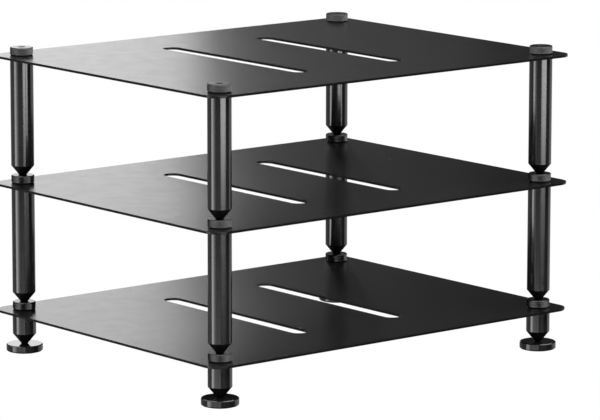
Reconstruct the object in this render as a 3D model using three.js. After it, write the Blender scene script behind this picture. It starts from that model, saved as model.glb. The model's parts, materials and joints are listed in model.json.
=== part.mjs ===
// Three-tier desktop equipment rack, modelled as it comes apart on a bench.
//
// Three slotted shelves stand over each other on four columns. At each corner of each shelf
// a knurled nut and a stud clamp the shelf to the post below it, and the cone under the post
// stands in the mouth of the nut below, so every tier lifts straight off the next one. The
// bottom tier has short legs whose cones stand in loose foot discs with a rubber pad each.
//
// Millimetres, +Z up, origin on the table under the middle of the rack, +X along the width,
// +Y towards the back.

import * as THREE from 'three';

// ---- driving dimensions ---------------------------------------------------------------

const SHELF_WIDTH = 250;          // along X
const SHELF_DEPTH = 200;          // along Y
const SHELF_THICKNESS = 1.35;     // 1.2 mm sheet and its coating
const SHELF_CORNER_RADIUS = 9;
const TIER_PITCH = 70.6;          // shelf top to shelf top
const COLUMN_INSET = 13;          // column axis to both shelf edges

const SLOT_OFFSET = 33;           // slot centre line to the middle of the shelf
const SLOT_WIDTH = 10;
const SLOT_LENGTH = 120;          // along Y, over the round ends

const POST_RADIUS = 6.3;
const LEG_RADIUS = 6.45;
const LEG_LENGTH = 12.2;

const NUT_RADIUS = 6.35;          // over the knurl
const NUT_HEIGHT = 4.4;
const NUT_CHAMFER = 0.3;

const CONE_HALF_ANGLE = THREE.MathUtils.degToRad(39);
const CONE_TIP_RADIUS = 0.75;
const POST_CONE_SHOWING = 5.3;    // nut top to post end
const LEG_CONE_SHOWING = 5.8;     // disc top to leg end
const SEAT_CLEARANCE = 0.13;      // radial, between a cone and the rim it stands in

const THREAD_RADIUS = 1.9;        // M4, drawn as a plain rod
const TAPPED_RADIUS = 2.0;
const SHELF_HOLE_RADIUS = 2.2;
const STUD_LENGTH = 10;
const STUD_IN_NUT = 2.4;
const SHANK_LENGTH = 5.2;
const POST_TOP_BORE_DEPTH = 8;
const POST_END_BORE_DEPTH = 7;

const DISC_RADIUS = 10;
const DISC_HEIGHT = 4;
const DISC_TOP_CHAMFER = 0.4;
const DISC_BOTTOM_CHAMFER = 0.6;
const DISC_DIMPLE_DEPTH = 1.5;
const PAD_RADIUS = 8.4;
const PAD_THICKNESS = 0.8;
const PAD_PROUD = 0.3;            // how far the pad stands out of the disc
const PAD_CLEARANCE = 0.2;

// ---- what follows from them -------------------------------------------------------------

const CONE_SLOPE = Math.tan(CONE_HALF_ANGLE);
const POST_LENGTH = TIER_PITCH - SHELF_THICKNESS - POST_CONE_SHOWING - NUT_HEIGHT;
const NUT_SEAT_RADIUS = POST_RADIUS - CONE_SLOPE * POST_CONE_SHOWING + SEAT_CLEARANCE;
const DISC_SEAT_RADIUS = LEG_RADIUS - CONE_SLOPE * LEG_CONE_SHOWING + SEAT_CLEARANCE;
const DISC_TOP = PAD_PROUD + DISC_HEIGHT;
const LEG_END = DISC_TOP + LEG_CONE_SHOWING;
const BOTTOM_SHELF_UNDERSIDE = LEG_END + LEG_LENGTH;

const ROUND_SEGMENTS = 20;
const DISC_SEGMENTS = 28;
const STUD_SEGMENTS = 14;
const ARC_DIVISIONS = 6;

const CORNERS = [
  { name: 'front_left', x: -1, y: -1 },
  { name: 'front_right', x: 1, y: -1 },
  { name: 'back_left', x: -1, y: 1 },
  { name: 'back_right', x: 1, y: 1 },
].map(({ name, x, y }) => ({
  name,
  x: x * (SHELF_WIDTH / 2 - COLUMN_INSET),
  y: y * (SHELF_DEPTH / 2 - COLUMN_INSET),
}));

// ---- finishes -----------------------------------------------------------------------------

const FINISH = {
  shelf: { color: 0x1d1d1f, roughness: 0.28, metalness: 0.3 },
  column: { color: 0x18181a, roughness: 0.25, metalness: 0.7 },
  knurl: { color: 0x2b2b2d, roughness: 0.4, metalness: 0.8 },
  cone: { color: 0x111112, roughness: 0.3, metalness: 0.7 },
  stud: { color: 0x8f9194, roughness: 0.35, metalness: 0.9 },
  disc: { color: 0x141415, roughness: 0.15, metalness: 0.6 },
  pad: { color: 0x0c0c0c, roughness: 0.9, metalness: 0.0 },
};

function piece(name, geometry, finish, z = 0) {
  const mesh = new THREE.Mesh(geometry, new THREE.MeshStandardMaterial(finish));
  mesh.name = name;
  mesh.position.z = z;
  return mesh;
}

// A solid of revolution about Z from [radius, height] points, outer wall going up.
function turned(profile, segments = ROUND_SEGMENTS) {
  const points = profile.map(([radius, height]) => new THREE.Vector2(radius, height));
  return new THREE.LatheGeometry(points, segments).rotateX(Math.PI / 2);
}

// ---- the pieces, each with its own origin on the column axis --------------------------------

function slotPath(centreX) {
  const radius = SLOT_WIDTH / 2;
  const straight = SLOT_LENGTH / 2 - radius;
  const path = new THREE.Path();
  path.absarc(centreX, straight, radius, 0, Math.PI, false);
  path.absarc(centreX, -straight, radius, Math.PI, 2 * Math.PI, false);
  path.closePath();
  return path;
}

// Shelf: a flat plate with round corners, two long slots and a hole at each column.
function shelfGeometry() {
  const right = SHELF_WIDTH / 2 - SHELF_CORNER_RADIUS;
  const back = SHELF_DEPTH / 2 - SHELF_CORNER_RADIUS;
  const quarter = Math.PI / 2;
  const outline = new THREE.Shape();
  outline.absarc(right, -back, SHELF_CORNER_RADIUS, -quarter, 0, false);
  outline.absarc(right, back, SHELF_CORNER_RADIUS, 0, quarter, false);
  outline.absarc(-right, back, SHELF_CORNER_RADIUS, quarter, 2 * quarter, false);
  outline.absarc(-right, -back, SHELF_CORNER_RADIUS, 2 * quarter, 3 * quarter, false);
  outline.closePath();
  outline.holes.push(slotPath(-SLOT_OFFSET), slotPath(SLOT_OFFSET));
  for (const { x, y } of CORNERS) {
    const hole = new THREE.Path();
    hole.absarc(x, y, SHELF_HOLE_RADIUS, 0, 2 * Math.PI, false);
    outline.holes.push(hole);
  }
  return new THREE.ExtrudeGeometry(outline, {
    depth: SHELF_THICKNESS, bevelEnabled: false, curveSegments: ARC_DIVISIONS,
  });
}

// Knurled nut: stands on z = 0, tapped right through, its mouth opened to seat a cone.
function nutGeometry() {
  const seatDepth = (NUT_SEAT_RADIUS - TAPPED_RADIUS) / CONE_SLOPE;
  return turned([
    [TAPPED_RADIUS, 0],
    [NUT_RADIUS - NUT_CHAMFER, 0],
    [NUT_RADIUS, NUT_CHAMFER],
    [NUT_RADIUS, NUT_HEIGHT - NUT_CHAMFER],
    [NUT_RADIUS - NUT_CHAMFER, NUT_HEIGHT],
    [NUT_SEAT_RADIUS, NUT_HEIGHT],
    [TAPPED_RADIUS, NUT_HEIGHT - seatDepth],
    [TAPPED_RADIUS, 0],
  ]);
}

// Post: stands on z = 0, with a tapped blind hole in each end.
function postGeometry() {
  return turned([
    [0, POST_END_BORE_DEPTH],
    [TAPPED_RADIUS, POST_END_BORE_DEPTH],
    [TAPPED_RADIUS, 0],
    [POST_RADIUS, 0],
    [POST_RADIUS, POST_LENGTH],
    [TAPPED_RADIUS, POST_LENGTH],
    [TAPPED_RADIUS, POST_LENGTH - POST_TOP_BORE_DEPTH],
    [0, POST_LENGTH - POST_TOP_BORE_DEPTH],
  ]);
}

// Leg: the bottom tier's short post, tapped right through.
function legGeometry() {
  return turned([
    [TAPPED_RADIUS, 0],
    [LEG_RADIUS, 0],
    [LEG_RADIUS, LEG_LENGTH],
    [TAPPED_RADIUS, LEG_LENGTH],
    [TAPPED_RADIUS, 0],
  ]);
}

// Cone spike: shoulder at z = 0, blunt tip below, threaded shank above.
function spikeGeometry(shoulderRadius) {
  const coneLength = (shoulderRadius - CONE_TIP_RADIUS) / CONE_SLOPE;
  return turned([
    [0, -coneLength],
    [CONE_TIP_RADIUS, -coneLength],
    [shoulderRadius, 0],
    [THREAD_RADIUS, 0],
    [THREAD_RADIUS, SHANK_LENGTH],
    [0, SHANK_LENGTH],
  ]);
}

// Stud: a headless screw standing on z = 0.
function studGeometry() {
  return turned([
    [0, 0],
    [THREAD_RADIUS, 0],
    [THREAD_RADIUS, STUD_LENGTH],
    [0, STUD_LENGTH],
  ], STUD_SEGMENTS);
}

// Foot disc: a dimple on top for the cone, a shallow recess below for the pad.
function discGeometry() {
  const recessRadius = PAD_RADIUS + PAD_CLEARANCE;
  const recessDepth = PAD_THICKNESS - PAD_PROUD;
  return turned([
    [0, recessDepth],
    [recessRadius, recessDepth],
    [recessRadius, 0],
    [DISC_RADIUS - DISC_BOTTOM_CHAMFER, 0],
    [DISC_RADIUS, DISC_BOTTOM_CHAMFER],
    [DISC_RADIUS, DISC_HEIGHT - DISC_TOP_CHAMFER],
    [DISC_RADIUS - DISC_TOP_CHAMFER, DISC_HEIGHT],
    [DISC_SEAT_RADIUS, DISC_HEIGHT],
    [DISC_SEAT_RADIUS - CONE_SLOPE * DISC_DIMPLE_DEPTH, DISC_HEIGHT - DISC_DIMPLE_DEPTH],
    [0, DISC_HEIGHT - DISC_DIMPLE_DEPTH],
  ], DISC_SEGMENTS);
}

function padGeometry() {
  return turned([[0, 0], [PAD_RADIUS, 0], [PAD_RADIUS, PAD_THICKNESS], [0, PAD_THICKNESS]]);
}

// ---- assembly ---------------------------------------------------------------------------------

// Shelf, studs and nuts of one tier, with z = 0 on the shelf's underside.
function tierTop(level) {
  const tier = new THREE.Group();
  tier.add(piece(`shelf_${level}`, shelfGeometry(), FINISH.shelf));
  for (const corner of CORNERS) {
    const column = new THREE.Group();
    column.position.set(corner.x, corner.y, 0);
    const studStart = SHELF_THICKNESS + STUD_IN_NUT - STUD_LENGTH;
    column.add(piece(`stud_${level}_${corner.name}`, studGeometry(), FINISH.stud, studStart));
    column.add(piece(`nut_${level}_${corner.name}`, nutGeometry(), FINISH.knurl, SHELF_THICKNESS));
    tier.add(column);
  }
  return tier;
}

// Posts and cones that carry an upper shelf, with z = 0 on that shelf's underside.
function columnsBelow(span) {
  const columns = new THREE.Group();
  for (const corner of CORNERS) {
    const column = new THREE.Group();
    column.position.set(corner.x, corner.y, -POST_LENGTH);
    column.add(piece(`post_${span}_${corner.name}`, postGeometry(), FINISH.column));
    column.add(piece(`spike_${span}_${corner.name}`, spikeGeometry(POST_RADIUS), FINISH.cone));
    columns.add(column);
  }
  return columns;
}

// Legs, cones and foot discs under the bottom shelf, standing on z = 0.
function feet() {
  const group = new THREE.Group();
  for (const corner of CORNERS) {
    const foot = new THREE.Group();
    foot.position.set(corner.x, corner.y, 0);
    foot.add(piece(`leg_${corner.name}`, legGeometry(), FINISH.column, LEG_END));
    foot.add(piece(`spike_leg_${corner.name}`, spikeGeometry(LEG_RADIUS), FINISH.cone, LEG_END));
    foot.add(piece(`foot_disc_${corner.name}`, discGeometry(), FINISH.disc, PAD_PROUD));
    foot.add(piece(`foot_pad_${corner.name}`, padGeometry(), FINISH.pad));
    group.add(foot);
  }
  return group;
}

const rack = new THREE.Group();
rack.add(feet());
const levels = ['bottom', 'middle', 'top'];
const spans = [null, 'lower', 'upper'];
levels.forEach((level, index) => {
  const tier = new THREE.Group();
  tier.position.z = BOTTOM_SHELF_UNDERSIDE + index * TIER_PITCH;
  tier.add(tierTop(level));
  if (spans[index]) tier.add(columnsBelow(spans[index]));
  rack.add(tier);
});

export default rack;
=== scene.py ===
"""Finished looks of a three-tier black metal equipment rack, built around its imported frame.

Sizes are in millimetres while a shape is on the bench, and in metres once it is placed. Each
shape is modelled once, from a primitive, and every place it fills gets its own copy.
"""

import sys
import json
import logging
import math
from dataclasses import dataclass, field
from enum import Enum
from typing import Any, Callable, Optional, Sequence, Union

import bmesh
import bpy
from mathutils import Matrix, Vector


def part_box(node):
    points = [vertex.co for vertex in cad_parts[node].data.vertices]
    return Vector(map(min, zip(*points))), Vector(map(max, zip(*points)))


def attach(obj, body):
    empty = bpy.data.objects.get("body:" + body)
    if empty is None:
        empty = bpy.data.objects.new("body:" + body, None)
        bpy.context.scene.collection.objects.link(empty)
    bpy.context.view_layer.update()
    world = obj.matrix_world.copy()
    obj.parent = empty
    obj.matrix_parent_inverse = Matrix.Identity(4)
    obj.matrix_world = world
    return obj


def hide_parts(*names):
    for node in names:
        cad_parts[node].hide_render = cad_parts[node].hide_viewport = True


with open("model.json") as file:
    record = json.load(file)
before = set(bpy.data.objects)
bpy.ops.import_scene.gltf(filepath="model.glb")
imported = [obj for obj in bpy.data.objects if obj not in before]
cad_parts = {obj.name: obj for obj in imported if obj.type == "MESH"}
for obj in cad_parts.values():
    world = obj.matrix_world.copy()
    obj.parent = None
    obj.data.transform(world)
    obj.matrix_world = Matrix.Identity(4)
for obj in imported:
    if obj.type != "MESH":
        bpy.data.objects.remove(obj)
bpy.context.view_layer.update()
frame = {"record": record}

MM = 0.001
FULL_TURN = 2 * math.pi

# In millimetres: points closer than this are one point, heights closer than this are level, and
# how far a cutter and an envelope stand clear of what they shape.
MERGE_GAP = 0.0005
EDGE_GAP = 0.02
CUT_MARGIN = 2.0
ENVELOPE_MARGIN = 0.2

# Noise from 0 to 1 swings evenly about this value.
NOISE_MIDDLE = 0.5

log = logging.getLogger("rack")

Point = tuple[float, float]
Colour = tuple[float, float, float, float]


def grey(value: float) -> Colour:
    """An opaque neutral linear colour."""
    return (value, value, value, 1.0)


# ---- the bench: shaping one piece ---------------------------------------------------------


class Element(Enum):
    """What a selection is made of."""

    VERTEX = "VERT"
    EDGE = "EDGE"


class Join(Enum):
    """How a second solid changes the one on the bench."""

    ADD = "UNION"
    CUT = "DIFFERENCE"
    KEEP_COMMON = "INTERSECT"


def radius_of(vertex: bmesh.types.BMVert) -> float:
    """Distance of a vertex from the turning axis."""
    return math.hypot(vertex.co.x, vertex.co.y)


class Blank:
    """One shape on the bench, from its primitive to a finished mesh."""

    def __init__(self, name: str) -> None:
        """Takes the object that a primitive operator has just made, and names it."""
        self.obj = bpy.context.object
        self.obj.name = name

    @staticmethod
    def clear_selection() -> None:
        """Leaves nothing selected, in object mode."""
        if bpy.context.object is not None and bpy.context.object.mode != "OBJECT":
            bpy.ops.object.mode_set(mode="OBJECT")
        bpy.ops.object.select_all(action="DESELECT")

    @classmethod
    def rod(cls, name: str, radius: float, low: float, high: float, sides: int,
            turn: float = 0.0, capped: bool = True) -> "Blank":
        """Starts from a round or many-sided bar on the Z axis.

        Args:
            name: Name of the shape.
            radius: Distance from the axis to each corner.
            low: Height of the lower end.
            high: Height of the upper end.
            sides: How many sides the bar has.
            turn: Angle in radians to turn it about its axis.
            capped: Whether the ends are closed.

        Returns:
            The shape on the bench.
        """
        cls.clear_selection()
        bpy.ops.mesh.primitive_cylinder_add(
            vertices=sides, radius=radius, depth=high - low,
            end_fill_type="NGON" if capped else "NOTHING",
            location=(0, 0, (low + high) / 2), rotation=(0, 0, turn))
        made = cls(name)
        made.settle()
        return made

    @classmethod
    def block(cls, name: str, size: Sequence[float], middle: Sequence[float]) -> "Blank":
        """Starts from a square block.

        Args:
            name: Name of the shape.
            size: Its width, depth and height.
            middle: Where its middle is.

        Returns:
            The shape on the bench.
        """
        cls.clear_selection()
        bpy.ops.mesh.primitive_cube_add(size=1.0, location=tuple(middle), scale=tuple(size))
        made = cls(name)
        made.settle()
        return made

    @classmethod
    def wire(cls, name: str, points: Sequence[Point]) -> "Blank":
        """Starts from one point and draws a line of edges through the others.

        Args:
            name: Name of the shape.
            points: Each point's radius and height, in order.

        Returns:
            The shape on the bench, with no faces yet.
        """
        cls.clear_selection()
        first = points[0]
        bpy.ops.mesh.primitive_plane_add(size=1.0, location=(first[0], 0, first[1]))
        made = cls(name)
        made.settle()
        made.edit()
        bpy.ops.mesh.select_mode(type="VERT")
        bpy.ops.mesh.select_all(action="SELECT")
        bpy.ops.mesh.merge(type="CENTER")
        for start, end in zip(points, points[1:]):
            step = (end[0] - start[0], 0.0, end[1] - start[1])
            bpy.ops.mesh.extrude_region_move(TRANSFORM_OT_translate={"value": step})
        return made

    @classmethod
    def turned(cls, name: str, profile: Sequence[Point], sides: int) -> "Blank":
        """Spins a profile once round the Z axis, as on a lathe.

        Args:
            name: Name of the shape.
            profile: Radius and height of each corner, in order.
            sides: How many steps the turn has.

        Returns:
            The closed shape on the bench.
        """
        made = cls.wire(name, profile)
        bpy.ops.mesh.select_all(action="SELECT")
        bpy.ops.mesh.spin(steps=sides, angle=FULL_TURN, center=(0, 0, 0), axis=(0, 0, 1))
        made.weld()
        return made

    @classmethod
    def threaded_rod(cls, name: str, thread: "Thread", low: float, high: float,
                     lead_in: float) -> "Blank":
        """Winds a thread profile up the axis, cuts it to length and tapers its ends.

        Args:
            name: Name of the shape.
            thread: The thread's sizes.
            low: Height of the lower end.
            high: Height of the upper end.
            lead_in: How much each end is chamfered.

        Returns:
            The closed threaded rod.
        """
        start = low - 2 * thread.pitch
        turns = math.ceil((high - start) / thread.pitch) + 2
        flank = (thread.pitch - thread.crest_width) / 2
        made = cls.wire(name, [
            (thread.root_radius, start),
            (thread.crest_radius, start + flank),
            (thread.crest_radius, start + flank + thread.crest_width),
            (thread.root_radius, start + thread.pitch),
        ])
        made.modify("SCREW", axis="Z", angle=FULL_TURN, screw_offset=thread.pitch,
                    iterations=turns, steps=thread.sides, render_steps=thread.sides,
                    use_merge_vertices=True, merge_threshold=MERGE_GAP)
        made.weld()
        margin = thread.pitch / 4
        made.slice_off(low - margin, keep_above=True)
        made.slice_off(high + margin, keep_above=False)
        made.weld()
        wide = thread.crest_radius + ENVELOPE_MARGIN
        taper = lead_in + ENVELOPE_MARGIN
        narrow = thread.crest_radius - lead_in
        envelope = cls.turned(name + "_envelope", [
            (0, low), (narrow, low), (wide, low + taper),
            (wide, high - taper), (narrow, high), (0, high),
        ], sides=2 * thread.sides)
        made.combine(envelope, Join.KEEP_COMMON)
        return made

    def edit(self) -> None:
        """Goes into edit mode on this shape alone."""
        if self.obj.mode == "EDIT":
            return
        self.clear_selection()
        self.obj.select_set(True)
        bpy.context.view_layer.objects.active = self.obj
        bpy.ops.object.mode_set(mode="EDIT")

    def leave(self) -> None:
        """Goes back to object mode, with this shape active."""
        self.clear_selection()
        self.obj.select_set(True)
        bpy.context.view_layer.objects.active = self.obj

    def settle(self) -> None:
        """Moves the object's place, turn and scale into its mesh."""
        self.leave()
        bpy.ops.object.transform_apply(location=True, rotation=True, scale=True)

    def weld(self) -> None:
        """Merges doubled vertices and turns every face outwards."""
        self.edit()
        bpy.ops.mesh.select_all(action="SELECT")
        bpy.ops.mesh.remove_doubles(threshold=MERGE_GAP)
        bpy.ops.mesh.normals_make_consistent(inside=False)
        self.leave()

    def pick(self, kind: Element, test: Callable[[Any], bool]) -> None:
        """Selects the elements that pass a test.

        Args:
            kind: Whether vertices or edges are selected.
            test: Takes an element of the mesh and says whether it is wanted.
        """
        self.edit()
        bpy.ops.mesh.select_mode(type=kind.value)
        bpy.ops.mesh.select_all(action="DESELECT")
        mesh = bmesh.from_edit_mesh(self.obj.data)
        elements = {Element.VERTEX: mesh.verts, Element.EDGE: mesh.edges}
        for element in elements[kind]:
            if test(element):
                element.select_set(True)
        mesh.select_flush_mode()
        bmesh.update_edit_mesh(self.obj.data)

    def scale_out(self, factor: float) -> None:
        """Moves the selection away from the turning axis by a factor."""
        bpy.ops.transform.resize(value=(factor, factor, 1.0), center_override=(0, 0, 0))

    def slide(self, x: float = 0.0, y: float = 0.0, z: float = 0.0) -> None:
        """Moves the selection."""
        bpy.ops.transform.translate(value=(x, y, z))

    def grow_ring(self, radius: float, height: float) -> None:
        """Extrudes the open ring that is selected to a new radius and height.

        Args:
            radius: Radius that every vertex of the new ring gets.
            height: Height of the new ring.
        """
        mesh = bmesh.from_edit_mesh(self.obj.data)
        level = next(v.co.z for v in mesh.verts if v.select)
        bpy.ops.mesh.extrude_edges_move(TRANSFORM_OT_translate={"value": (0, 0, height - level)})
        mesh = bmesh.from_edit_mesh(self.obj.data)
        for vertex in mesh.verts:
            if vertex.select:
                share = radius / radius_of(vertex)
                vertex.co.x *= share
                vertex.co.y *= share
        bmesh.update_edit_mesh(self.obj.data)

    def slice_off(self, height: float, keep_above: bool) -> None:
        """Cuts the shape at a height and closes the cut.

        Args:
            height: Height of the cut.
            keep_above: Whether the part above the cut stays, or the part below it.
        """
        self.edit()
        bpy.ops.mesh.select_all(action="SELECT")
        bpy.ops.mesh.bisect(plane_co=(0, 0, height), plane_no=(0, 0, 1), use_fill=True,
                            clear_inner=keep_above, clear_outer=not keep_above)
        self.leave()

    def modify(self, kind: str, **settings: Any) -> None:
        """Adds a modifier with these settings and applies it.

        Args:
            kind: The modifier's type.
            **settings: Its settings.
        """
        self.leave()
        modifier = self.obj.modifiers.new(kind.lower(), kind)
        for name, value in settings.items():
            setattr(modifier, name, value)
        bpy.ops.object.modifier_apply(modifier=modifier.name)

    def combine(self, other: "Blank", how: Join) -> None:
        """Adds or cuts another shape, which is used up.

        Args:
            other: The second shape.
            how: What is done with it.
        """
        other.leave()
        self.modify("BOOLEAN", operation=how.value, solver="EXACT", object=other.obj)
        other.discard()
        self.weld()

    def ease_edges(self, width: float, segments: int = 2, above_degrees: float = 25.0) -> None:
        """Rounds every sharp edge a little.

        Args:
            width: Width of the rounding.
            segments: How many steps it has.
            above_degrees: Edges that turn less than this stay as they are.
        """
        self.modify("BEVEL", width=width, segments=segments, limit_method="ANGLE",
                    angle_limit=math.radians(above_degrees), use_clamp_overlap=True,
                    miter_outer="MITER_SHARP")

    def smooth(self, below_degrees: float) -> None:
        """Shades faces smoothly across edges that turn less than this."""
        self.leave()
        bpy.ops.object.shade_smooth_by_angle(angle=math.radians(below_degrees))

    def discard(self) -> None:
        """Takes the shape off the bench."""
        self.clear_selection()
        bpy.data.objects.remove(self.obj, do_unlink=True)


@dataclass(frozen=True)
class Thread:
    """Sizes of the fine machine thread that studs and spikes share."""

    crest_radius: float = 1.9
    root_radius: float = 1.5
    pitch: float = 0.7
    crest_width: float = 0.09
    sides: int = 24


# ---- shader maths -------------------------------------------------------------------------


class Signal:
    """A shader socket that adds Math nodes when it is used in arithmetic."""

    def __init__(self, graph: "Graph", socket: bpy.types.NodeSocket) -> None:
        """Wraps a socket of a graph."""
        self.graph = graph
        self.socket = socket

    def _maths(self, operation: str, first: "Operand", second: "Operand") -> "Signal":
        """One Math node on two values."""
        return self.graph.node("ShaderNodeMath", {"operation": operation}, {0: first, 1: second})

    def __add__(self, other: "Operand") -> "Signal":
        """self + other."""
        return self._maths("ADD", self, other)

    def __radd__(self, other: "Operand") -> "Signal":
        """other + self."""
        return self._maths("ADD", other, self)

    def __sub__(self, other: "Operand") -> "Signal":
        """self - other."""
        return self._maths("SUBTRACT", self, other)

    def __rsub__(self, other: "Operand") -> "Signal":
        """other - self."""
        return self._maths("SUBTRACT", other, self)

    def __mul__(self, other: "Operand") -> "Signal":
        """self * other."""
        return self._maths("MULTIPLY", self, other)

    def __rmul__(self, other: "Operand") -> "Signal":
        """other * self."""
        return self._maths("MULTIPLY", other, self)

    def __pow__(self, other: "Operand") -> "Signal":
        """self to the power of other."""
        return self._maths("POWER", self, other)

    def __abs__(self) -> "Signal":
        """The size of self without its sign."""
        return self._maths("ABSOLUTE", self, 0.0)

    def between(self, low: float, high: float) -> "Signal":
        """How far self has come from one value to another, kept within 0 to 1.

        Args:
            low: Value that gives 0.
            high: Value that gives 1.

        Returns:
            The share.
        """
        settings = {"clamp": True}
        sockets = {"Value": self, "From Min": low, "From Max": high}
        return self.graph.node("ShaderNodeMapRange", settings, sockets)


Operand = Union[Signal, float]


class Graph:
    """The node tree of one material."""

    def __init__(self, tree: bpy.types.NodeTree) -> None:
        """Empties a tree to start from."""
        self.tree = tree
        tree.nodes.clear()

    def node(self, kind: str, settings: Optional[dict[str, Any]] = None,
             sockets: Optional[dict[Union[int, str], Any]] = None,
             output: Union[int, str] = 0) -> Signal:
        """Adds a node.

        Args:
            kind: The node's type.
            settings: Its settings, which are set before its sockets.
            sockets: A value or a Signal for each input.
            output: The output that is handed back.

        Returns:
            That output, ready for arithmetic.
        """
        made = self.tree.nodes.new(kind)
        for name, value in (settings or {}).items():
            setattr(made, name, value)
        for name, value in (sockets or {}).items():
            if isinstance(value, Signal):
                self.tree.links.new(value.socket, made.inputs[name])
            else:
                made.inputs[name].default_value = value
        return Signal(self, made.outputs[output]) if made.outputs else Signal(self, None)

    def position(self) -> Signal:
        """Where the shaded point is, in the piece's own coordinates."""
        return self.node("ShaderNodeTexCoord", output="Object")

    def axis(self, letter: str) -> Signal:
        """One coordinate of the shaded point."""
        return self.node("ShaderNodeSeparateXYZ", None, {"Vector": self.position()}, letter)

    def speckle(self, size: float, detail: float = 2.0) -> Signal:
        """Even noise from 0 to 1, its blotches this many millimetres wide."""
        sockets = {"Vector": self.position(), "Scale": 1 / (size * MM), "Detail": detail}
        return self.node("ShaderNodeTexNoise", {"noise_dimensions": "3D"}, sockets)

    def lines(self, along: Signal, size: float) -> Signal:
        """Noise from 0 to 1 along one distance in metres, its lines this many millimetres wide."""
        sockets = {"W": along, "Scale": 1 / (size * MM), "Detail": 3.0}
        return self.node("ShaderNodeTexNoise", {"noise_dimensions": "1D"}, sockets)

    def blend(self, share: Operand, first: Colour, second: Colour) -> Signal:
        """A colour between two others."""
        sockets = {0: share, 6: first, 7: second}
        return self.node("ShaderNodeMix", {"data_type": "RGBA"}, sockets, 2)


@dataclass(frozen=True)
class Finish:
    """A surface finish. Subclasses say how its colour, gloss and relief change over a piece."""

    slot: str
    colour: Colour
    second_colour: Colour
    roughness: float
    metallic: float = 0.0
    specular: float = 0.5
    relief: float = 0.002
    grain_size: float = 0.6
    cloud_size: float = 14.0
    cloud_range: Point = (0.35, 0.7)
    patch_size: float = 9.0
    patch_swing: float = 0.05

    def cloudiness(self, graph: Graph) -> Signal:
        """Where the second colour shows, from 0 to 1."""
        return graph.speckle(self.cloud_size, 3.0).between(*self.cloud_range)

    def gloss_change(self, graph: Graph) -> Signal:
        """What is added to the roughness."""
        return (graph.speckle(self.patch_size, 4.0) - NOISE_MIDDLE) * self.patch_swing

    def height(self, graph: Graph) -> Signal:
        """Relief of the surface, from 0 to 1."""
        return graph.speckle(self.grain_size)

    def material(self) -> bpy.types.Material:
        """Builds the material.

        Returns:
            A material that is ready to be given to pieces.
        """
        made = bpy.data.materials.new(self.slot)
        made.use_nodes = True
        graph = Graph(made.node_tree)
        colour = graph.blend(self.cloudiness(graph), self.colour, self.second_colour)
        normal = graph.node("ShaderNodeBump", None, {
            "Strength": 1.0, "Distance": self.relief * MM, "Height": self.height(graph)})
        shader = graph.node("ShaderNodeBsdfPrincipled", None, {
            "Base Color": colour,
            "Roughness": self.roughness + self.gloss_change(graph),
            "Metallic": self.metallic,
            "Specular IOR Level": self.specular,
            "Normal": normal,
        })
        graph.node("ShaderNodeOutputMaterial", None, {"Surface": shader})
        return made


@dataclass(frozen=True)
class SheetCoat(Finish):
    """Baked satin coat on sheet metal: faint orange peel, and a finer grain on it."""

    grain_size: float = 0.25
    peel_size: float = 1.4
    peel_share: float = 0.75

    def height(self, graph: Graph) -> Signal:
        """Orange peel with a finer grain on it."""
        grain = graph.speckle(self.grain_size, 1.0) * (1 - self.peel_share)
        return graph.speckle(self.peel_size, 1.0) * self.peel_share + grain


@dataclass(frozen=True)
class TurnedFinish(Finish):
    """Lathe-turned metal: fine rings round each column's axis, on walls and on faces."""

    patch_size: float = 5.0
    patch_swing: float = 0.04
    ring: float = 0.16
    rings_in_band: float = 9.0
    band_swing: float = 0.06
    axis_x: float = 112.0
    axis_y: float = 87.0

    def from_axis(self, graph: Graph) -> Signal:
        """Finds how far the shaded point is from the nearest column's axis.

        Args:
            graph: The material's node tree.

        Returns:
            The distance, in metres.
        """
        across = abs(graph.axis("X")) - self.axis_x * MM
        along = abs(graph.axis("Y")) - self.axis_y * MM
        return (across * across + along * along) ** 0.5

    def height(self, graph: Graph) -> Signal:
        """Draws turning lines: rings up a wall, and circles on a face.

        Args:
            graph: The material's node tree.

        Returns:
            The relief, from 0 to 1.
        """
        up_the_wall = graph.lines(graph.axis("Z"), self.ring)
        on_the_face = graph.lines(self.from_axis(graph), self.ring)
        return (up_the_wall + on_the_face) * 0.5

    def gloss_change(self, graph: Graph) -> Signal:
        """Adds duller bands, where the tool marks bunch up, to a few faint patches.

        Args:
            graph: The material's node tree.

        Returns:
            What is added to the roughness.
        """
        bands = graph.lines(graph.axis("Z"), self.ring * self.rings_in_band)
        patches = graph.speckle(self.patch_size)
        in_bands = (bands - NOISE_MIDDLE) * self.band_swing
        return in_bands + (patches - NOISE_MIDDLE) * self.patch_swing


@dataclass(frozen=True)
class KnurlFinish(TurnedFinish):
    """Pressed knurl: crests lighter than grooves, partly rubbed wear and partly a painted
    highlight.
    """

    wall_radius: float = 6.05
    crest_radius: float = 6.35
    sheen_and_wear_size: float = 1.5
    least_sheen_and_wear: float = 0.5

    def cloudiness(self, graph: Graph) -> Signal:
        """Finds the knurl's crests, made lighter unevenly as rubbed wear and as a painted
        highlight.

        Args:
            graph: The material's node tree.

        Returns:
            How much they are lightened, from 0 to 1.
        """
        # Painted highlight on the knurl crests, mixed with uneven rubbed wear.
        crests = self.from_axis(graph).between(self.wall_radius * MM, self.crest_radius * MM)
        sheen_and_wear = graph.speckle(self.sheen_and_wear_size) * (1 - self.least_sheen_and_wear) + self.least_sheen_and_wear
        return crests * sheen_and_wear


@dataclass(frozen=True)
class RubberFinish(Finish):
    """Matt moulded rubber with a fine, dull grain and scuffed patches."""

    grain_size: float = 0.2
    patch_size: float = 3.0
    patch_swing: float = 0.15

    def height(self, graph: Graph) -> Signal:
        """Moulded grain."""
        return graph.speckle(self.grain_size, 4.0)


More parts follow.
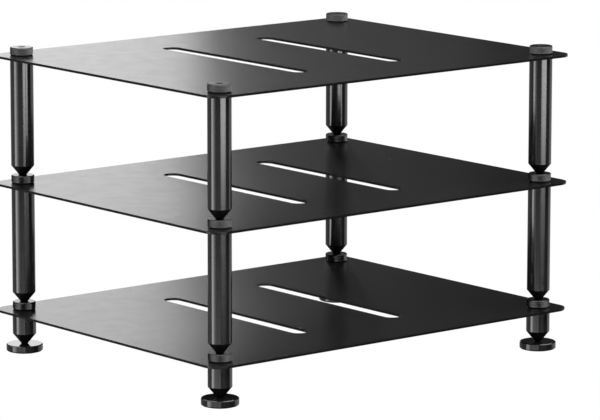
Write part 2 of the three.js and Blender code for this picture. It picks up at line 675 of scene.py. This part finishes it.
SHELF_COAT = SheetCoat("shelf_black", grey(0.006), grey(0.009), roughness=0.26, specular=0.3,
                       relief=0.0012)
COLUMN_FINISH = TurnedFinish("column_black", grey(0.012), grey(0.018), roughness=0.13,
                             specular=0.9, relief=0.0001)
CONE_FINISH = TurnedFinish("cone_black", grey(0.004), grey(0.006), roughness=0.22, relief=0.0005)
# The knurl's lighter second colour is a painted highlight on its crests, mixed with rubbed wear.
NUT_FINISH = KnurlFinish("nut_knurled", grey(0.05), grey(0.24), roughness=0.28,
                         metallic=1.0, relief=0.0006)
STUD_FINISH = TurnedFinish("stud_steel", grey(0.20), grey(0.27), roughness=0.38,
                           metallic=1.0, relief=0.001)
DISC_FINISH = TurnedFinish("disc_black", grey(0.008), grey(0.011), roughness=0.12,
                           specular=0.65, relief=0.0001)
PAD_FINISH = RubberFinish("pad_rubber", grey(0.012), grey(0.02), roughness=0.8, relief=0.02)


# ---- placing copies -----------------------------------------------------------------------


class Assembly:
    """Gives each CAD node its finished copy, and rides it on the node's own body."""

    def __init__(self) -> None:
        """Reads which body each node belongs to."""
        groups = frame["record"]["behaviour"]["bodies"]
        self.body_of = {node: body for body, nodes in groups.items() for node in nodes}
        self.materials: dict[str, bpy.types.Material] = {}

    def material(self, finish: Finish) -> bpy.types.Material:
        """Finds the material of a finish, and builds it the first time it is asked for.

        Args:
            finish: The finish.

        Returns:
            The material.
        """
        if finish.slot not in self.materials:
            self.materials[finish.slot] = finish.material()
        return self.materials[finish.slot]

    def place(self, shape: Blank, nodes: Sequence[str], finish: Finish) -> None:
        """Puts a copy of a shape where each node is, and takes the shape off the bench.

        Args:
            shape: The shape, standing on height 0 about the Z axis, in millimetres.
            nodes: The CAD nodes that it stands for.
            finish: Its finish.
        """
        bottom = min(vertex.co.z for vertex in shape.obj.data.vertices)
        for node in nodes:
            low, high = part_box(node)
            middle = (low + high) / 2
            mesh = shape.obj.data.copy()
            home = Matrix.Translation((middle.x, middle.y, low.z - bottom * MM))
            mesh.transform(home @ Matrix.Scale(MM, 4))
            mesh.materials.clear()
            mesh.materials.append(self.material(finish))
            piece = bpy.data.objects.new(node + "_finished", mesh)
            mesh.name = piece.name
            bpy.context.scene.collection.objects.link(piece)
            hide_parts(node)
            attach(piece, self.body_of[node])
            mesh.calc_loop_triangles()
            log.info("%s: %d triangles on %s", piece.name, len(mesh.loop_triangles),
                     self.body_of[node])
        shape.discard()


CORNERS = ("front_left", "front_right", "back_left", "back_right")
LEVELS = ("bottom", "middle", "top")
SPANS = ("lower", "upper")


def at_corners(stem: str) -> list[str]:
    """Names of the four nodes of one kind, such as leg at each corner."""
    return [f"{stem}_{corner}" for corner in CORNERS]


@dataclass
class Shelves:
    """Three flat plates, each with two long slots and a hole at each column."""

    width: float = 250.0
    depth: float = 200.0
    thickness: float = 1.35
    corner_radius: float = 9.0
    corner_steps: int = 14
    slot_offset: float = 33.0
    slot_width: float = 10.0
    slot_length: float = 120.0
    column_inset: float = 13.0
    slot_sides: int = 48
    hole_radius: float = 2.2
    hole_sides: int = 32
    edge_radius: float = 0.14
    shading_angle: float = 15.0
    finish: Finish = SHELF_COAT

    def slot_cutter(self, side: int) -> Blank:
        """Models the long bar with round ends that cuts one slot.

        Args:
            side: -1 for the left slot, 1 for the right one.

        Returns:
            The cutter.
        """
        half_step = math.pi / self.slot_sides
        radius = self.slot_width / 2 / math.cos(half_step)
        cutter = Blank.rod("slot_cutter", radius, -CUT_MARGIN, self.thickness + CUT_MARGIN,
                           self.slot_sides, half_step)
        reach = (self.slot_length - self.slot_width) / 2
        cutter.pick(Element.VERTEX, lambda v: v.co.y > 0)
        cutter.slide(y=reach)
        cutter.pick(Element.VERTEX, lambda v: v.co.y < 0)
        cutter.slide(y=-reach)
        bpy.ops.mesh.select_all(action="SELECT")
        cutter.slide(x=side * self.slot_offset)
        cutter.leave()
        return cutter

    def hole_cutter(self, x: float, y: float) -> Blank:
        """Models the round bar that cuts the hole at one column.

        Args:
            x: Where the column is, along the width.
            y: Where the column is, along the depth.

        Returns:
            The cutter.
        """
        cutter = Blank.rod("hole_cutter", self.hole_radius, -CUT_MARGIN,
                           self.thickness + CUT_MARGIN, self.hole_sides)
        cutter.edit()
        bpy.ops.mesh.select_all(action="SELECT")
        cutter.slide(x=x, y=y)
        cutter.leave()
        return cutter

    def plate(self) -> Blank:
        """Models one plate.

        Returns:
            The plate, with its underside at height 0.
        """
        size = (self.width, self.depth, self.thickness)
        plate = Blank.block("plate", size, (0, 0, self.thickness / 2))
        plate.pick(Element.EDGE, lambda e: abs(e.verts[0].co.z - e.verts[1].co.z)
                   > self.thickness / 2)
        bpy.ops.mesh.bevel(offset=self.corner_radius, offset_type="OFFSET", affect="EDGES",
                           segments=self.corner_steps, profile=0.5)
        plate.leave()
        for side in (-1, 1):
            plate.combine(self.slot_cutter(side), Join.CUT)
        for x in (-1, 1):
            for y in (-1, 1):
                reach_x = x * (self.width / 2 - self.column_inset)
                reach_y = y * (self.depth / 2 - self.column_inset)
                plate.combine(self.hole_cutter(reach_x, reach_y), Join.CUT)
        plate.ease_edges(self.edge_radius)
        plate.smooth(self.shading_angle)
        return plate

    def build(self, assembly: Assembly) -> None:
        """Models the plate and places it on all three levels."""
        assembly.place(self.plate(), [f"shelf_{level}" for level in LEVELS], self.finish)


@dataclass
class Columns:
    """Posts, legs, and the cone spikes that screw into their lower ends."""

    post_radius: float = 6.3
    post_length: float = 59.55
    leg_radius: float = 6.45
    leg_length: float = 12.2
    bore_radius: float = 2.0
    top_bore: float = 8.0
    end_bore: float = 7.0
    bore_mouth: float = 0.35
    edge_radius: float = 0.16
    sides: int = 96
    shading_angle: float = 10.0
    cone_slope: float = math.tan(math.radians(39.0))
    cone_edge_radius: float = 0.06
    cone_shading_angle: float = 16.0
    tip_radius: float = 0.75
    shank_root: float = 1.0
    shank_length: float = 5.2
    lead_in: float = 0.4
    thread: Thread = field(default_factory=Thread)
    column_finish: Finish = COLUMN_FINISH
    cone_finish: Finish = CONE_FINISH

    def post(self) -> Blank:
        """Models a post with a blind tapped hole in each end.

        Returns:
            The post, standing on height 0.
        """
        top = self.post_length
        bore = self.bore_radius
        mouth = self.bore_mouth
        post = Blank.turned("post", [
            (0, self.end_bore), (bore, self.end_bore),
            (bore, mouth), (bore + mouth, 0),
            (self.post_radius, 0), (self.post_radius, top),
            (bore + mouth, top), (bore, top - mouth),
            (bore, top - self.top_bore), (0, top - self.top_bore),
        ], self.sides)
        post.ease_edges(self.edge_radius)
        post.smooth(self.shading_angle)
        return post

    def leg(self) -> Blank:
        """Models a leg, tapped right through.

        Returns:
            The leg, standing on height 0.
        """
        top = self.leg_length
        bore = self.bore_radius
        mouth = self.bore_mouth
        leg = Blank.turned("leg", [
            (bore, mouth), (bore + mouth, 0),
            (self.leg_radius, 0), (self.leg_radius, top),
            (bore + mouth, top), (bore, top - mouth), (bore, mouth),
        ], self.sides)
        leg.ease_edges(self.edge_radius)
        leg.smooth(self.shading_angle)
        return leg

    def spike(self, shoulder_radius: float) -> Blank:
        """Models a cone spike with its threaded shank.

        Args:
            shoulder_radius: Radius of the cone where it meets the column.

        Returns:
            The spike, with its shoulder at height 0.
        """
        length = (shoulder_radius - self.tip_radius) / self.cone_slope
        cone = Blank.turned("spike", [
            (0, -length), (self.tip_radius, -length), (shoulder_radius, 0), (0, 0),
        ], self.sides)
        cone.ease_edges(self.cone_edge_radius)
        shank = Blank.threaded_rod("shank", self.thread, -self.shank_root, self.shank_length,
                                   self.lead_in)
        cone.combine(shank, Join.ADD)
        cone.smooth(self.cone_shading_angle)
        return cone

    def build(self, assembly: Assembly) -> None:
        """Models and places the posts, the legs and their spikes.

        Args:
            assembly: Takes the finished copies.
        """
        posts = [node for span in SPANS for node in at_corners(f"post_{span}")]
        spikes = [node for span in SPANS for node in at_corners(f"spike_{span}")]
        assembly.place(self.post(), posts, self.column_finish)
        assembly.place(self.leg(), at_corners("leg"), self.column_finish)
        assembly.place(self.spike(self.post_radius), spikes, self.cone_finish)
        assembly.place(self.spike(self.leg_radius), at_corners("spike_leg"), self.cone_finish)


@dataclass
class Fastenings:
    """Knurled nuts on top of the shelves, and the studs that they are screwed to."""

    radius: float = 6.35
    height: float = 4.4
    chamfer: float = 0.4
    foot_chamfer: float = 0.65
    groove: float = 0.3
    columns: int = 72
    rows: int = 7
    crest_flat: float = 0.1
    seat_radius: float = 2.138
    bore_radius: float = 2.0
    bore_groove: float = 0.22
    bore_mouth: float = 0.25
    lowest_groove: float = 0.3
    shading_angle: float = 20.0
    stud_length: float = 10.0
    lead_in: float = 0.4
    socket_sides: int = 6
    socket_across: float = 2.0
    socket_depth: float = 2.0
    key_margin: float = 1.0
    thread: Thread = field(default_factory=Thread)
    nut_finish: Finish = NUT_FINISH
    stud_finish: Finish = STUD_FINISH

    def is_crest(self, vertex: bmesh.types.BMVert) -> bool:
        """Tells the tips of the diamonds from the corners between them.

        Args:
            vertex: A vertex of the wall's grid.

        Returns:
            Whether it is a tip.
        """
        row_height = (self.height - self.chamfer - self.foot_chamfer) / self.rows
        column = round(math.atan2(vertex.co.y, vertex.co.x) / (FULL_TURN / self.columns))
        row = round((vertex.co.z - self.foot_chamfer) / row_height)
        return (column + row) % 2 == 0

    def diamond_wall(self) -> Blank:
        """Models the knurled wall, open above and below.

        Returns:
            The wall.
        """
        valley = self.radius - self.groove
        low = self.foot_chamfer
        high = self.height - self.chamfer
        wall = Blank.rod("nut", valley, low, high, self.columns, capped=False)
        wall.pick(Element.EDGE, lambda e: abs(e.verts[0].co.z - e.verts[1].co.z) > EDGE_GAP)
        bpy.ops.mesh.subdivide(number_cuts=self.rows - 1)
        wall.pick(Element.VERTEX, self.is_crest)
        wall.scale_out(self.radius / valley)
        bpy.ops.mesh.select_all(action="SELECT")
        bpy.ops.mesh.quads_convert_to_tris(quad_method="SHORTEST_DIAGONAL")
        middle = valley + self.groove / 2
        wall.pick(Element.VERTEX, lambda v: radius_of(v) > middle
                  and low + EDGE_GAP < v.co.z < high - EDGE_GAP)
        bpy.ops.mesh.bevel(offset=self.crest_flat, affect="VERTICES", segments=1)
        return wall

    def bore_rings(self) -> list[Point]:
        """Lists the rings from the seat down the tapped hole.

        Returns:
            Radius and height of each ring.
        """
        half_pitch = self.thread.pitch / 2
        start = self.height - self.bore_mouth
        count = int((start - self.lowest_groove) / half_pitch)
        rings = [(self.seat_radius, self.height)]
        for index in range(count):
            depth = self.bore_groove if index % 2 else 0.0
            rings.append((self.bore_radius + depth, start - index * half_pitch))
        return rings + [(self.bore_radius, self.bore_mouth),
                        (self.bore_radius + self.bore_mouth, 0.0)]

    def nut(self) -> Blank:
        """Models a nut, with a chamfer above and below its knurl and a seat for a cone.

        Returns:
            The nut, standing on height 0.
        """
        nut = self.diamond_wall()
        valley = self.radius - self.groove
        rim = self.radius - self.chamfer
        foot = self.radius - self.foot_chamfer
        low = self.foot_chamfer
        high = self.height - self.chamfer
        nut.pick(Element.EDGE, lambda e: all(abs(v.co.z - low) < EDGE_GAP for v in e.verts))
        nut.grow_ring(valley, low - self.groove)
        nut.grow_ring(foot, 0.0)
        nut.pick(Element.EDGE, lambda e: all(abs(v.co.z - high) < EDGE_GAP for v in e.verts))
        nut.grow_ring(valley, high + self.groove)
        nut.grow_ring(rim, self.height)
        for radius, height in self.bore_rings():
            nut.grow_ring(radius, height)
        nut.grow_ring(foot, 0.0)
        nut.weld()
        nut.smooth(self.shading_angle)
        return nut

    def stud(self) -> Blank:
        """Models a headless screw with a six-sided socket in its upper end.

        Returns:
            The stud, standing on height 0.
        """
        top = self.stud_length
        stud = Blank.threaded_rod("stud", self.thread, 0.0, top, self.lead_in)
        corner = self.socket_across / 2 / math.cos(math.pi / self.socket_sides)
        key = Blank.rod("key", corner, top - self.socket_depth, top + self.key_margin,
                        self.socket_sides)
        stud.combine(key, Join.CUT)
        stud.smooth(self.shading_angle)
        return stud

    def build(self, assembly: Assembly) -> None:
        """Models and places the nuts and the studs.

        Args:
            assembly: Takes the finished copies.
        """
        nuts = [node for level in LEVELS for node in at_corners(f"nut_{level}")]
        studs = [node for level in LEVELS for node in at_corners(f"stud_{level}")]
        assembly.place(self.nut(), nuts, self.nut_finish)
        assembly.place(self.stud(), studs, self.stud_finish)


@dataclass
class Feet:
    """Loose discs that the lowest cones stand in, each with a rubber pad let in below."""

    radius: float = 10.0
    height: float = 4.0
    top_chamfer: float = 0.4
    bottom_chamfer: float = 0.6
    seat_radius: float = 1.883
    dimple_depth: float = 1.5
    cone_slope: float = math.tan(math.radians(39.0))
    pad_radius: float = 8.4
    pad_thickness: float = 0.8
    pad_proud: float = 0.3
    pad_clearance: float = 0.2
    groove_rings: tuple[float, ...] = (2.4, 4.4, 6.4)
    groove_depth: float = 0.15
    groove_floor: float = 0.15
    groove_mouth: float = 0.3
    sides: int = 96
    edge_radius: float = 0.06
    pad_sides: int = 64
    pad_edge_radius: float = 0.08
    shading_angle: float = 10.0
    disc_finish: Finish = DISC_FINISH
    pad_finish: Finish = PAD_FINISH

    def disc(self) -> Blank:
        """Models a disc with its chamfers, dimple and pad recess.

        Returns:
            The disc, standing on height 0.
        """
        recess = self.pad_radius + self.pad_clearance
        recess_depth = self.pad_thickness - self.pad_proud
        dimple = self.seat_radius - self.cone_slope * self.dimple_depth
        disc = Blank.turned("disc", [
            (0, recess_depth), (recess, recess_depth), (recess, 0),
            (self.radius - self.bottom_chamfer, 0), (self.radius, self.bottom_chamfer),
            (self.radius, self.height - self.top_chamfer),
            (self.radius - self.top_chamfer, self.height), (self.seat_radius, self.height),
            (dimple, self.height - self.dimple_depth), (0, self.height - self.dimple_depth),
        ], self.sides)
        disc.ease_edges(self.edge_radius)
        disc.smooth(self.shading_angle)
        return disc

    def pad(self) -> Blank:
        """Models a rubber pad with three shallow grooves in its underside.

        Returns:
            The pad, standing on height 0.
        """
        depth = self.groove_depth
        profile = [(0.0, 0.0)]
        for ring in self.groove_rings:
            profile += [(ring - self.groove_mouth, 0.0), (ring - self.groove_floor, depth),
                        (ring + self.groove_floor, depth), (ring + self.groove_mouth, 0.0)]
        profile += [(self.pad_radius, 0.0), (self.pad_radius, self.pad_thickness),
                    (0.0, self.pad_thickness)]
        pad = Blank.turned("pad", profile, self.pad_sides)
        pad.ease_edges(self.pad_edge_radius)
        pad.smooth(self.shading_angle)
        return pad

    def build(self, assembly: Assembly) -> None:
        """Models and places the discs and the pads."""
        assembly.place(self.disc(), at_corners("foot_disc"), self.disc_finish)
        assembly.place(self.pad(), at_corners("foot_pad"), self.pad_finish)


# ---- studio -------------------------------------------------------------------------------


@dataclass(frozen=True)
class Softbox:
    """An upright lit panel round the rack, placed by where it stands in plan.

    Angles are degrees from the direction of the camera, to the right as the camera sees it.
    """

    name: str
    start: float
    end: float
    distance: float
    low: float
    high: float
    brightness: float


@dataclass(frozen=True)
class BackPanel:
    """An upright lit panel behind the rack, square to the view.

    Its ends are metres to the right of the view's axis, and its distance is from the rack.
    """

    name: str
    distance: float
    left: float
    right: float
    low: float
    high: float
    brightness: float


@dataclass
class Studio:
    """Pale floor, plain soft light and the camera."""

    azimuth: float = 39.394
    elevation: float = 10.178
    roll: float = 0.068
    target: Vector = field(default_factory=lambda: Vector((0.00651, -0.00800, 0.07877)))
    distance: float = 2.2719
    lens: float = 248.23
    sensor: float = 36.0
    floor_size: float = 6.0
    floor_depth: float = 0.0002
    surround: float = 0.034
    back_panels: tuple[BackPanel, ...] = (
        BackPanel("bright_card", 2.53, -0.75, -0.150, 0.0, 1.4, 2.05),
        BackPanel("card_wing", 1.2, -0.112, -0.084, 0.31, 0.8, 2.05),
        BackPanel("low_fill", 1.2, -0.090, 0.10, 0.0, 0.31, 0.020),
        BackPanel("near_fill", 1.2, -0.081, 0.051, 0.31, 0.8, 0.115),
        BackPanel("far_fill", 1.2, 0.051, 0.152, 0.31, 0.8, 0.095),
    )
    overhead_size: float = 2.4
    overhead_height: float = 2.0
    overhead_brightness: float = 1.0
    panels: tuple[Softbox, ...] = (
        Softbox("left_core", -79.0, -59.0, 3.0, -1.6, -0.05, 3.6),
        Softbox("left_wing", -59.0, -49.0, 3.0, -1.6, -0.05, 1.9),
        Softbox("left_tail", -49.0, -38.0, 3.0, -1.6, -0.05, 0.8),
        Softbox("front_panel", -38.0, 6.0, 3.0, -1.8, -0.57, 1.35),
        Softbox("front_fill", -38.0, 8.0, 3.0, -0.57, 0.1, 0.15),
        Softbox("right_panel", 10.0, 60.0, 3.0, -0.32, 0.0, 5.3),
        Softbox("right_tail", 10.0, 60.0, 3.0, -0.46, -0.32, 0.5),
        Softbox("high_left_panel", -150.0, -10.0, 3.0, 0.9, 3.9, 1.8),
        Softbox("key_panel", -10.0, 120.0, 3.0, 0.9, 3.9, 3.2),
        Softbox("rear_left_panel", -170.0, -82.0, 3.0, -1.6, 0.1, 0.22),
        Softbox("rear_right_panel", 100.0, 158.0, 3.0, -1.6, 0.2, 0.6),
    )

    def axes(self) -> tuple[Vector, Vector, Vector]:
        """Works out the camera's directions, before any roll.

        Returns:
            Its forward, right and up directions.
        """
        yaw = math.radians(self.azimuth)
        pitch = math.radians(self.elevation)
        forward = Vector((math.sin(yaw) * math.cos(pitch), math.cos(yaw) * math.cos(pitch),
                          -math.sin(pitch)))
        right = Vector((math.cos(yaw), -math.sin(yaw), 0.0))
        return forward, right, right.cross(forward)

    def camera(self) -> None:
        """Makes the scene's camera."""
        forward, right, up = self.axes()
        turn = math.radians(self.roll)
        level = math.cos(turn) * right + math.sin(turn) * up
        tilted_up = math.cos(turn) * up - math.sin(turn) * right
        data = bpy.data.cameras.new("camera")
        data.lens = self.lens
        data.sensor_width = self.sensor
        data.sensor_fit = "HORIZONTAL"
        made = bpy.data.objects.new("camera", data)
        bpy.context.scene.collection.objects.link(made)
        rotation = Matrix((level, tilted_up, -forward)).transposed().to_4x4()
        made.matrix_world = Matrix.Translation(self.target - forward * self.distance) @ rotation
        bpy.context.scene.camera = made

    def panel(self, name: str, first: Vector, second: Vector, low: float, high: float,
              brightness: float) -> None:
        """Stands one lit panel on two plan points, facing the rack.

        Args:
            name: Name of the light.
            first: One end, in plan.
            second: The other end, in plan.
            low: Height of its lower edge.
            high: Height of its upper edge.
            brightness: How bright its face looks.
        """
        width = (second - first).length
        middle = (first + second) / 2
        middle.z = (low + high) / 2
        along = (second - first).normalized()
        outward = along.cross(Vector((0, 0, 1)))
        if outward.dot(middle) < 0:
            outward = -outward
        data = bpy.data.lights.new(name, "AREA")
        data.shape = "RECTANGLE"
        data.size = width
        data.size_y = high - low
        data.energy = brightness * math.pi * width * (high - low)
        made = bpy.data.objects.new(name, data)
        bpy.context.scene.collection.objects.link(made)
        upright = Vector((0, 0, 1))
        rotation = Matrix((upright.cross(outward), upright, outward)).transposed().to_4x4()
        made.matrix_world = Matrix.Translation(middle) @ rotation
        made.visible_camera = False

    def lights(self) -> None:
        """Stands the panels round the rack, and the bright card behind it."""
        forward, right, _ = self.axes()
        to_camera = Vector((-forward.x, -forward.y, 0.0)).normalized()
        for box in self.panels:
            ends = [box.distance * (math.cos(math.radians(a)) * to_camera
                                    + math.sin(math.radians(a)) * right)
                    for a in (box.start, box.end)]
            self.panel(box.name, ends[0], ends[1], box.low, box.high, box.brightness)
        for box in self.back_panels:
            start = Vector((self.target.x, self.target.y, 0.0)) - to_camera * box.distance
            self.panel(box.name, start + right * box.left, start + right * box.right, box.low,
                       box.high, box.brightness)
        self.overhead()

    def overhead(self) -> None:
        """Hangs one square panel over the rack."""
        data = bpy.data.lights.new("overhead", "AREA")
        data.shape = "SQUARE"
        data.size = self.overhead_size
        data.energy = self.overhead_brightness * math.pi * self.overhead_size ** 2
        made = bpy.data.objects.new("overhead", data)
        bpy.context.scene.collection.objects.link(made)
        made.location = (0, 0, self.overhead_height)
        made.visible_camera = False

    def surroundings(self) -> None:
        """A white view behind the rack, and dim surroundings for its reflections."""
        world = bpy.data.worlds.new("surroundings")
        world.use_nodes = True
        graph = Graph(world.node_tree)
        seen = graph.node("ShaderNodeBackground", None, {"Color": grey(1.0), "Strength": 1.0})
        dim = graph.node("ShaderNodeBackground", None,
                         {"Color": grey(self.surround), "Strength": 1.0})
        is_seen = graph.node("ShaderNodeLightPath", output="Is Camera Ray")
        mixed = graph.node("ShaderNodeMixShader", None, {0: is_seen, 1: dim, 2: seen})
        graph.node("ShaderNodeOutputWorld", None, {"Surface": mixed})
        bpy.context.scene.world = world

    def floor(self) -> None:
        """A pale floor that shows from above only and throws no light back."""
        Blank.clear_selection()
        bpy.ops.mesh.primitive_plane_add(size=self.floor_size,
                                         location=(0, 0, -self.floor_depth))
        made = bpy.context.object
        made.name = "floor"
        material = bpy.data.materials.new("pale_floor")
        material.use_nodes = True
        graph = Graph(material.node_tree)
        pale = graph.node("ShaderNodeEmission", None, {"Color": grey(1.0), "Strength": 1.0})
        clear = graph.node("ShaderNodeBsdfTransparent")
        from_below = graph.node("ShaderNodeNewGeometry", output="Backfacing")
        mixed = graph.node("ShaderNodeMixShader", None, {0: from_below, 1: pale, 2: clear})
        graph.node("ShaderNodeOutputMaterial", None, {"Surface": mixed})
        made.data.materials.append(material)
        for ray in ("diffuse", "glossy", "transmission", "volume_scatter", "shadow"):
            setattr(made, "visible_" + ray, False)

    def build(self) -> None:
        """Makes the camera, the lights, the surroundings and the floor."""
        self.camera()
        self.lights()
        self.surroundings()
        self.floor()
        bpy.context.scene.view_settings.view_transform = "Standard"


def main() -> None:
    """Builds every sub-assembly, then the studio."""
    logging.basicConfig(level=logging.INFO, format="%(name)s %(message)s", stream=sys.stdout)
    assembly = Assembly()
    for part in (Shelves(), Columns(), Fastenings(), Feet()):
        part.build(assembly)
    Studio().build()
    Blank.clear_selection()


if __name__ == "__main__":
    main()
